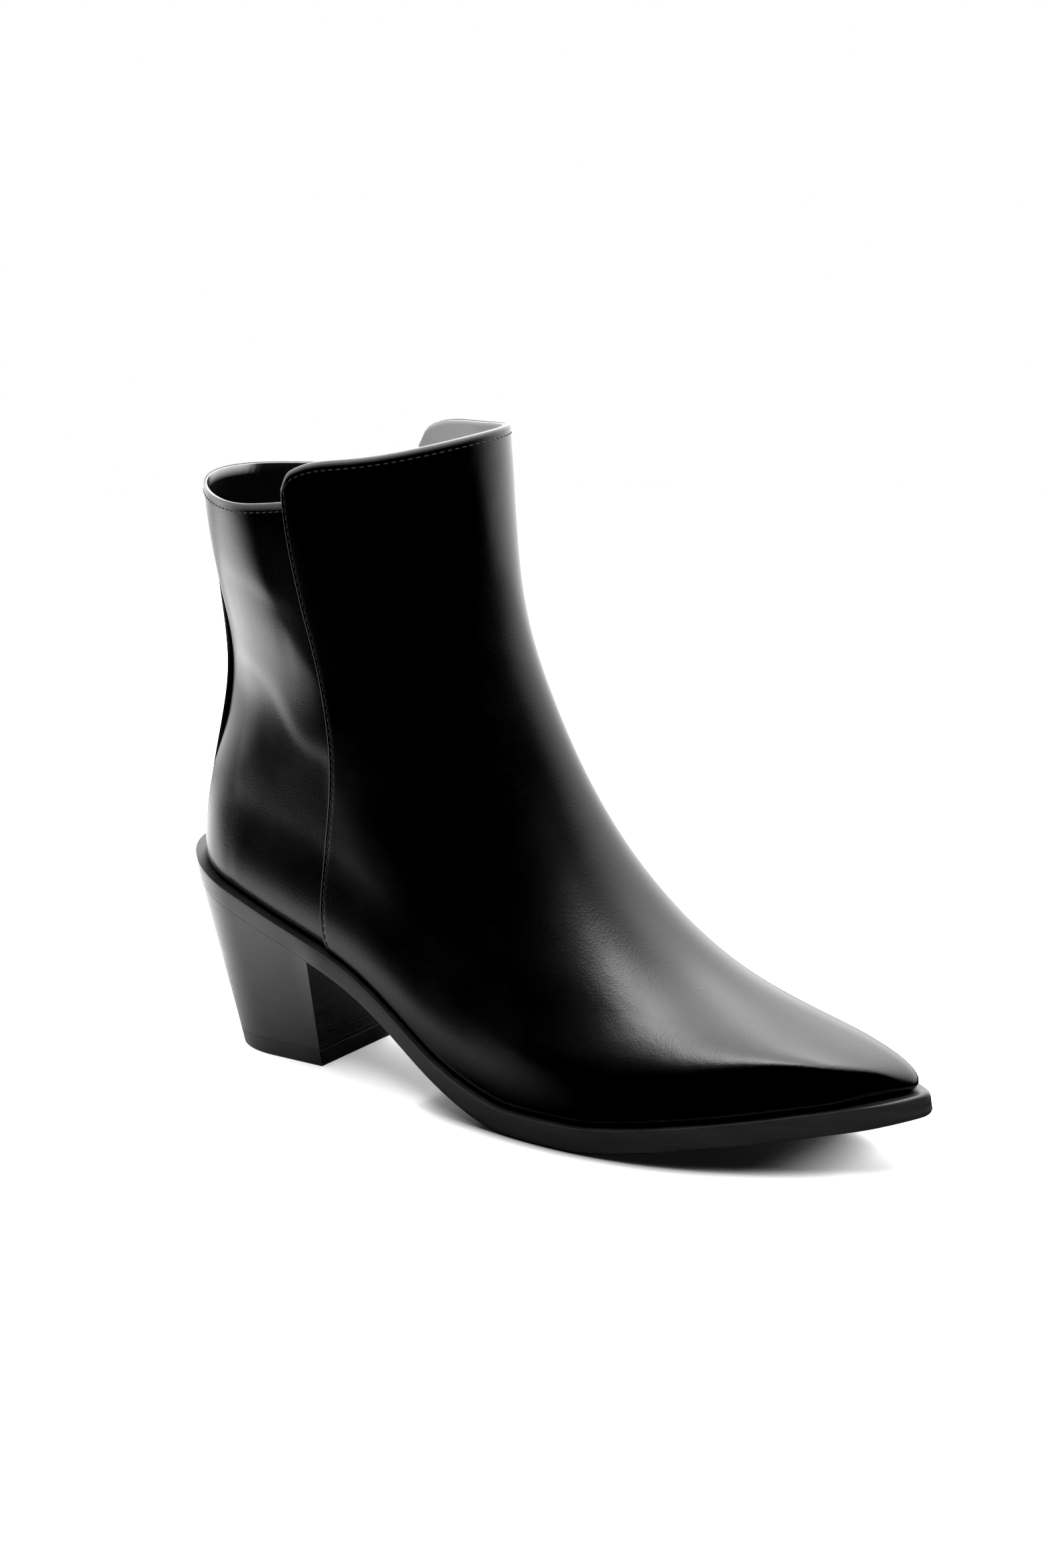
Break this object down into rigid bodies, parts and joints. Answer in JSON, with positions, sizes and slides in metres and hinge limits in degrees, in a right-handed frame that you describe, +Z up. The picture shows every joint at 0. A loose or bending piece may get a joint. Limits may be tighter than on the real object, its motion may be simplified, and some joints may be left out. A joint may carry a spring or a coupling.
{
  "type": "pointed-toe ankle boot",
  "caption": "Black leather ankle boot for the right foot with a pointed toe, stepped collar, lapped side seams, thin rimmed outsole and a tapered block heel.",
  "frame": {"origin": "bottom centre of the boot's box, on the floor it stands on", "axes": "+X towards the toe, +Y towards the inner side, +Z up"},
  "size_m": [0.2562, 0.0756, 0.2033],
  "materials": {
    "upper_leather": "smooth semi-gloss black",
    "sole_edge": "satin black edge",
    "heel_block": "satin black",
    "lift_rubber": "matte black",
    "footbed": "matte dark grey"
  },
  "bodies": {
    "root": {"upper": "upper_leather", "outsole": "sole_edge", "heel": "heel_block", "heel_lift": "lift_rubber", "insole": "footbed"}
  },
  "joints": []
}
